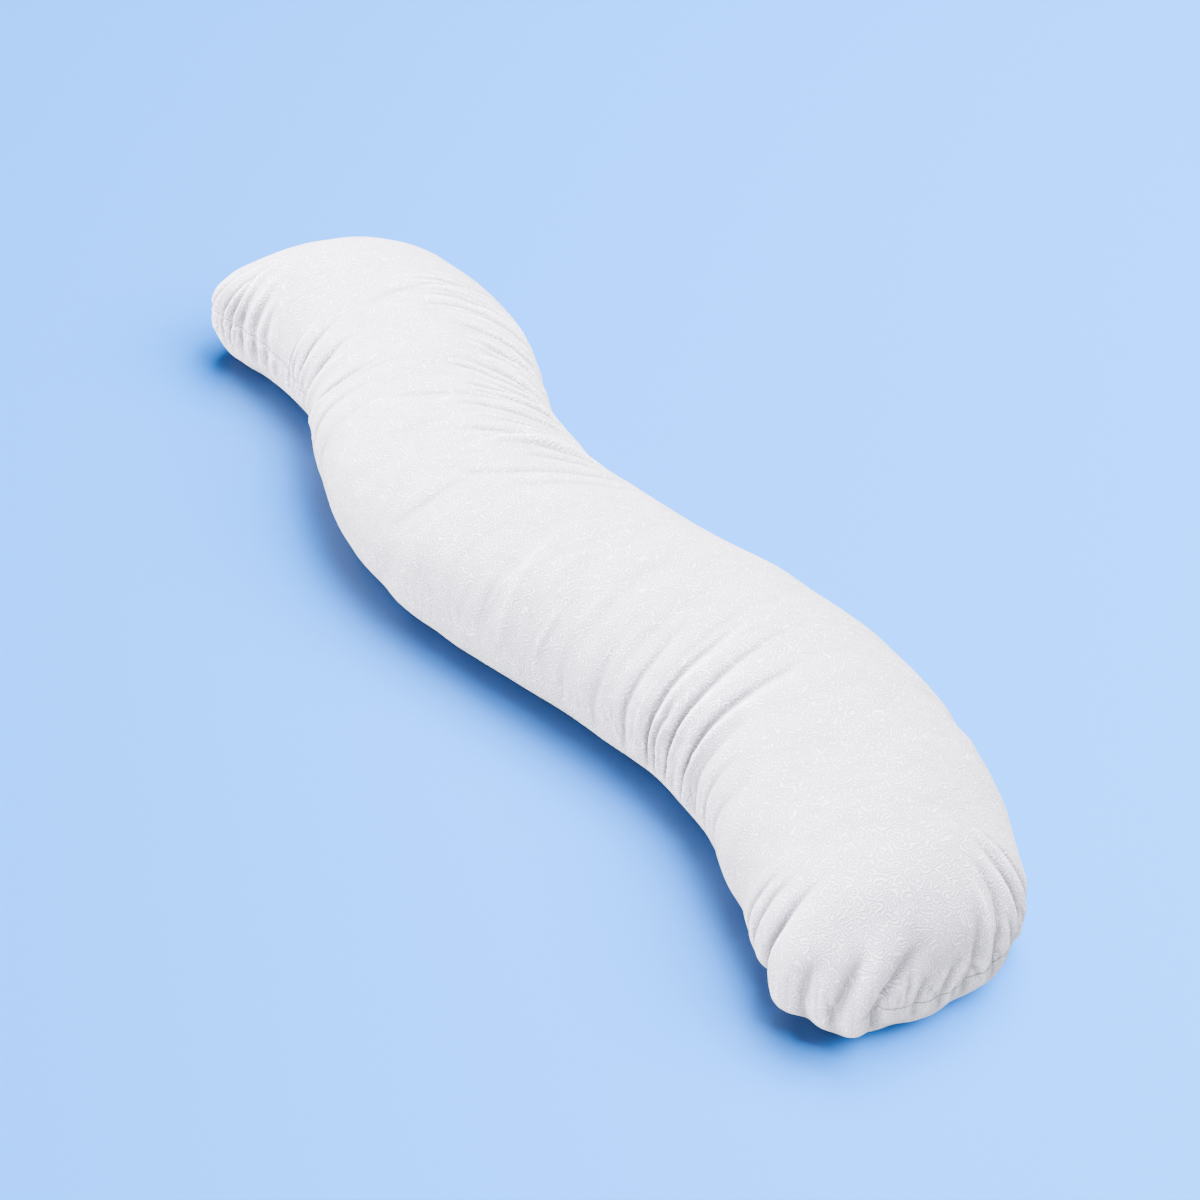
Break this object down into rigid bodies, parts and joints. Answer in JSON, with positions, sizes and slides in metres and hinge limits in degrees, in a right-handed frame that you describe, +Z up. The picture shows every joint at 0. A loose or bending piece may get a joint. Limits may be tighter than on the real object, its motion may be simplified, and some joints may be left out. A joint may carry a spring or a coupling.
{
  "type": "body pillow",
  "caption": "Long filled body pillow in a shallow wave, with a sewn edge, rounded ends and gathered inner bends, lying flat.",
  "frame": {"origin": "on the resting plane, under the middle of the bounding box", "axes": "+X from the foot end to the head end along the pillow's length, +Y to the left seen from the foot end, +Z up out of the upper panel"},
  "size_m": [1.388, 0.3694, 0.162],
  "materials": {
    "cover": "brushed off-white knit"
  },
  "bodies": {
    "root": {"pillow": "cover"}
  },
  "joints": []
}
